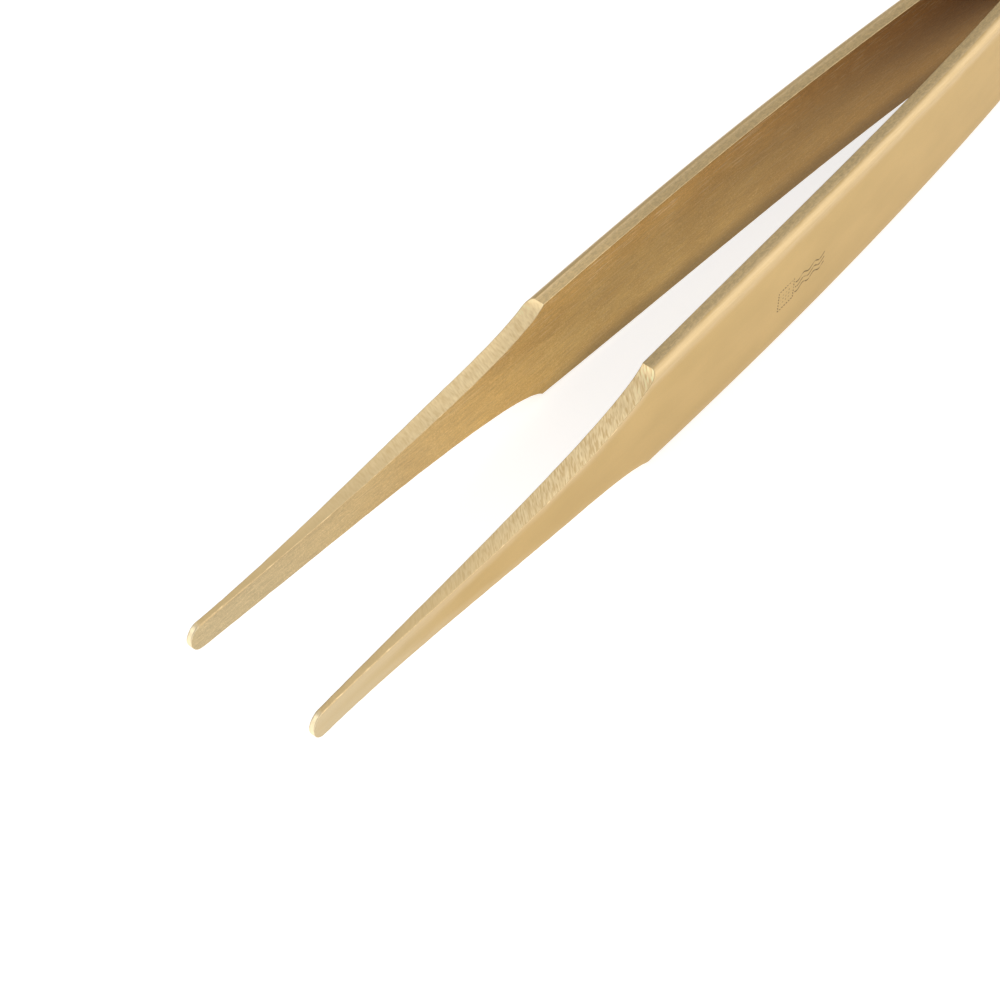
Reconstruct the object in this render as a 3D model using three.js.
// Stamp tongs: two sprung brass arms, brazed together at the head.
//
// Frame, in millimetres: +X runs from the tips to the head, the tongs stand on the lower long edges
// of their arms at z = 0, and the arms open along Y. The front arm is on the -Y side.
// The origin is under the middle of the tongs, half way between the tips and the head's end.
//
// Each arm is one strip on the real object and bends like a leaf spring. Here it is divided at the
// flex line into a tang, which stays with the head, and a blade, which turns about the flex line.

import * as THREE from 'three';

// ---- driving dimensions -----------------------------------------------------------------------

const OVERALL_LENGTH = 120;
const BIT_LENGTH = 35.7;          // from the tip to the shoulder where the wide grip begins
const TANG_LENGTH = 10;           // brazed part of each arm, at the head
const BEND_LENGTH = 10;           // curved stretch that turns the arm out of the flat tang
const FLEX_FROM_TANG = 16.5;      // a third of the way from the tang to the fingers
const FLEX_CLEARANCE = 0.3;       // between tang and blade, at the flex line

const SHOULDER_WIDTH = 9.5;       // widths are the strip's height along Z
const GRIP_WIDTH = 10.68;
const HEAD_WIDTH = 8.5;
const TIP_WIDTH = 2.4;
const GRIP_STRAIGHT_START = 28;   // the parallel stretch of the grip, measured from the shoulder
const GRIP_STRAIGHT_END = 44;
const EDGE_HOLLOW = 0.03;         // the long edges dip this much between the ends of that stretch
const HEAD_CORNER_RADIUS = 2.6;
const TIP_ROUND_LENGTH = 0.95;

const GRIP_THICKNESS = 1.5;
const TIP_THICKNESS = 0.46;
const TANG_THICKNESS = 0.95;
const TIP_THINNING_END = 7.9;     // the strip reaches its full thickness this far ahead of the shoulder
const SPRING_THINNING_START = 54; // from here, past the shoulder, the strip thins towards the tang
const EDGE_RADIUS = 0.64;         // rounding of the outer long edges of the grip
const EDGE_RADIUS_SHARE = 0.45;   // and never more than this share of the thickness

const BRAZE_THICKNESS = 0.2;
const BRAZE_INSET = 0.5;          // the filler stops short of the tangs' edges

// Half of the gap between the arms: the heights of a cubic Bezier curve, from the tip to the bend.
const GAP_AT_TIP = 5.28;
const GAP_TIP_HANDLE = 4.07;
const GAP_HEAD_HANDLE = 4.94;
const GAP_AT_BEND = 0.73;

// The ground sides of the bit: a fillet that drops from the shoulder, then a long taper to the tip.
// Both are the handles of one cubic Bezier curve, measured from its two ends.
const FILLET_REACH = 2.5;
const FILLET_DROP = 2.5;
const TAPER_REACH = 19.7;
const TAPER_RISE = 0.25;

// ---- derived stations along X -------------------------------------------------------------------

const X_TIP = -OVERALL_LENGTH / 2;
const X_SHOULDER = X_TIP + BIT_LENGTH;
const X_END = OVERALL_LENGTH / 2;
const X_TANG = X_END - TANG_LENGTH;
const X_BEND = X_TANG - BEND_LENGTH;
const X_FLEX = X_TANG - FLEX_FROM_TANG;
const X_STRAIGHT_START = X_SHOULDER + GRIP_STRAIGHT_START;
const X_STRAIGHT_END = X_SHOULDER + GRIP_STRAIGHT_END;
const Z_MIDDLE = GRIP_WIDTH / 2;
const HALF_FILM = BRAZE_THICKNESS / 2;

// Number of steps that each stretch of an arm is divided into, and of each rounded edge.
const TIP_STEPS = 7;
const BIT_STEPS = 34;
const GRIP_STEPS = 36;
const SPRING_STEPS = 16;
const CORNER_STEPS = 6;
const EDGE_STEPS = 4;
const TIP_FIRST_ANGLE = Math.PI / 16;   // the tip's rounding starts a little short of its very end
const LEAST_STATION_SPACING = 0.2;      // between the last section of the tip and the first of the bit

// ---- how an arm varies along its length ---------------------------------------------------------

const smoothRamp = (x, from, to) => THREE.MathUtils.smoothstep(x, from, to);

function bezierHeight(curveHeights, share) {
  const [a, b, c, d] = curveHeights;
  const rest = 1 - share;
  return a * rest ** 3 + 3 * b * share * rest ** 2 + 3 * c * share ** 2 * rest + d * share ** 3;
}

const bitOutline = new THREE.CubicBezierCurve(
  new THREE.Vector2(X_SHOULDER, SHOULDER_WIDTH / 2),
  new THREE.Vector2(X_SHOULDER - FILLET_REACH, SHOULDER_WIDTH / 2 - FILLET_DROP),
  new THREE.Vector2(X_TIP + TAPER_REACH, TIP_WIDTH / 2 + TAPER_RISE),
  new THREE.Vector2(X_TIP, TIP_WIDTH / 2),
);

// Half the width of the strip before the bit is ground: swelling from the shoulder to the grip,
// parallel for a stretch, then narrowing to the head, with rounded corners at the very end.
// The parallel stretch is a hair hollow, so that the tongs stand steadily on its two ends.
function stripHalfWidth(x) {
  const widest = GRIP_WIDTH / 2;
  if (x < X_SHOULDER) return SHOULDER_WIDTH / 2;
  if (x < X_STRAIGHT_START) {
    const share = (X_STRAIGHT_START - x) / (X_STRAIGHT_START - X_SHOULDER);
    return widest - (widest - SHOULDER_WIDTH / 2) * share ** 2;
  }
  if (x < X_STRAIGHT_END) {
    const fromMiddle = (2 * x - X_STRAIGHT_START - X_STRAIGHT_END) / (X_STRAIGHT_END - X_STRAIGHT_START);
    return widest - EDGE_HOLLOW * (1 - fromMiddle ** 2);
  }
  const share = (x - X_STRAIGHT_END) / (X_END - X_STRAIGHT_END);
  const half = widest - (widest - HEAD_WIDTH / 2) * share ** 2;
  const intoCorner = THREE.MathUtils.clamp(x - X_END + HEAD_CORNER_RADIUS, 0, HEAD_CORNER_RADIUS);
  return half - HEAD_CORNER_RADIUS + Math.sqrt(HEAD_CORNER_RADIUS ** 2 - intoCorner ** 2);
}

// Half of the gap between the arms at x: the distance of the arm's inner face from the mid plane.
function halfGap(x) {
  if (x >= X_TANG) return HALF_FILM;
  if (x >= X_BEND) {
    const share = (X_TANG - x) / BEND_LENGTH;
    return HALF_FILM + (GAP_AT_BEND - HALF_FILM) * share ** 2;
  }
  const share = (x - X_TIP) / (X_BEND - X_TIP);
  return bezierHeight([GAP_AT_TIP, GAP_TIP_HANDLE, GAP_HEAD_HANDLE, GAP_AT_BEND], share);
}

function thickness(x) {
  const bit = smoothRamp(x, X_TIP, X_SHOULDER - TIP_THINNING_END);
  const spring = smoothRamp(x, X_SHOULDER + SPRING_THINNING_START, X_TANG);
  return TIP_THICKNESS + (GRIP_THICKNESS - TIP_THICKNESS) * bit
    - (GRIP_THICKNESS - TANG_THICKNESS) * spring;
}

// Cross-section of an arm at x, as [distance from the mid plane, height] pairs: a flat inner face,
// and an outer face whose two long edges are rounded. Grinding the bit cuts the section down to
// groundHalf above and below its middle, through the rounded edges.
function section(x, groundHalf) {
  const inner = halfGap(x);
  const outer = inner + thickness(x);
  const stripHalf = stripHalfWidth(x);
  const half = Math.min(stripHalf, groundHalf);
  const radius = Math.min(EDGE_RADIUS, EDGE_RADIUS_SHARE * thickness(x));
  const upper = [];
  for (let i = 0; i <= EDGE_STEPS; i += 1) {
    const angle = (Math.PI / 2) * (i / EDGE_STEPS);
    const y = outer - radius + radius * Math.sin(angle);
    const z = Math.min(half, stripHalf - radius + radius * Math.cos(angle));
    upper.push([y, z]);
  }
  const lower = upper.map(([y, z]) => [y, -z]).reverse();
  return [[inner, -half], [inner, half], ...upper, ...lower];
}

// ---- stations ------------------------------------------------------------------------------------

function evenly(from, to, steps) {
  return Array.from({ length: steps + 1 }, (_, i) => from + ((to - from) * i) / steps);
}

// The round end of the tip is half an ellipse. The first section needs a height of its own, so it
// lies a little way round from the very end.
function tipSections() {
  return evenly(TIP_FIRST_ANGLE, Math.PI / 2, TIP_STEPS).map((angle) => {
    const x = X_TIP + TIP_ROUND_LENGTH * (Math.cos(TIP_FIRST_ANGLE) - Math.cos(angle));
    return { x, points: section(x, (TIP_WIDTH / 2) * Math.sin(angle)) };
  });
}

function bitSections() {
  const sections = [];
  for (let i = BIT_STEPS - 1; i >= 0; i -= 1) {
    const point = bitOutline.getPoint(i / BIT_STEPS);
    sections.push({ x: point.x, points: section(point.x, point.y) });
  }
  return sections;
}

function stripSections(xs) {
  return xs.map((x) => ({ x, points: section(x, Infinity) }));
}

function bladeSections() {
  const tip = tipSections();
  const tipEnd = tip[tip.length - 1].x;
  const bit = bitSections().filter((one) => one.x > tipEnd + LEAST_STATION_SPACING);
  const grip = evenly(X_SHOULDER, X_STRAIGHT_START, GRIP_STEPS / 2).slice(1);
  const straight = evenly(X_STRAIGHT_START, X_STRAIGHT_END, GRIP_STEPS / 4).slice(1);
  const back = evenly(X_STRAIGHT_END, X_FLEX - FLEX_CLEARANCE / 2, GRIP_STEPS / 4).slice(1);
  return [...tip, ...bit, ...stripSections([...grip, ...straight, ...back])];
}

function tangSections() {
  const cornerStart = X_END - HEAD_CORNER_RADIUS;
  const spring = evenly(X_FLEX + FLEX_CLEARANCE / 2, X_BEND, SPRING_STEPS);
  const bend = evenly(X_BEND, X_TANG, CORNER_STEPS).slice(1);
  const flat = [cornerStart];
  const corner = evenly(0, Math.PI / 2, CORNER_STEPS)
    .slice(1)
    .map((angle) => cornerStart + HEAD_CORNER_RADIUS * Math.sin(angle));
  return stripSections([...spring, ...bend, ...flat, ...corner]);
}

// ---- solids ----------------------------------------------------------------------------------------

// A closed body through the sections, with flat ends. side is -1 for the front arm, +1 for the rear.
function loft(sections, side) {
  const ring = sections[0].points.length;
  const positions = [];
  for (const { x, points } of sections) {
    for (const [y, z] of points) positions.push(x, side * y, Z_MIDDLE + z);
  }
  const faces = [];
  const addFace = (a, b, c) => faces.push(...(side < 0 ? [a, b, c] : [a, c, b]));
  for (let s = 0; s + 1 < sections.length; s += 1) {
    for (let i = 0; i < ring; i += 1) {
      const here = s * ring + i;
      const next = s * ring + ((i + 1) % ring);
      addFace(here, next, next + ring);
      addFace(here, next + ring, here + ring);
    }
  }
  const lastRing = (sections.length - 1) * ring;
  for (let i = 1; i + 1 < ring; i += 1) {
    addFace(0, i + 1, i);
    addFace(lastRing, lastRing + i, lastRing + i + 1);
  }
  const geometry = new THREE.BufferGeometry();
  geometry.setAttribute('position', new THREE.Float32BufferAttribute(positions, 3));
  geometry.setIndex(faces);
  geometry.computeVertexNormals();
  return geometry;
}

// The filler between the tangs: a thin plate with the head's own outline, set in from its edges.
function brazeGeometry() {
  const start = X_TANG + BRAZE_INSET;
  const end = X_END - BRAZE_INSET;
  const half = HEAD_WIDTH / 2 - BRAZE_INSET;
  const radius = HEAD_CORNER_RADIUS - BRAZE_INSET;
  const outline = new THREE.Shape();
  outline.moveTo(start, -half);
  outline.lineTo(end - radius, -half);
  outline.absarc(end - radius, -half + radius, radius, -Math.PI / 2, 0, false);
  outline.absarc(end - radius, half - radius, radius, 0, Math.PI / 2, false);
  outline.lineTo(start, half);
  outline.closePath();
  const plate = new THREE.ExtrudeGeometry(outline, {
    depth: BRAZE_THICKNESS,
    bevelEnabled: false,
    curveSegments: CORNER_STEPS,
  });
  plate.rotateX(Math.PI / 2);
  plate.translate(0, HALF_FILM, Z_MIDDLE);
  return plate;
}

// ---- materials and assembly --------------------------------------------------------------------------

const satinGold = () => new THREE.MeshStandardMaterial({
  color: 0xd2b077,
  roughness: 0.42,
  metalness: 0.9,
});

const paleBraze = () => new THREE.MeshStandardMaterial({
  color: 0xd9c08c,
  roughness: 0.5,
  metalness: 0.85,
});

function piece(name, geometry, material) {
  const mesh = new THREE.Mesh(geometry, material);
  mesh.name = name;
  return mesh;
}

function arm(label, side) {
  const group = new THREE.Group();
  group.add(piece(`${label}_arm_blade`, loft(bladeSections(), side), satinGold()));
  group.add(piece(`${label}_arm_tang`, loft(tangSections(), side), satinGold()));
  return group;
}

const stampTongs = new THREE.Group();
stampTongs.add(arm('front', -1));
stampTongs.add(arm('rear', 1));
stampTongs.add(piece('head_braze', brazeGeometry(), paleBraze()));

export default stampTongs;
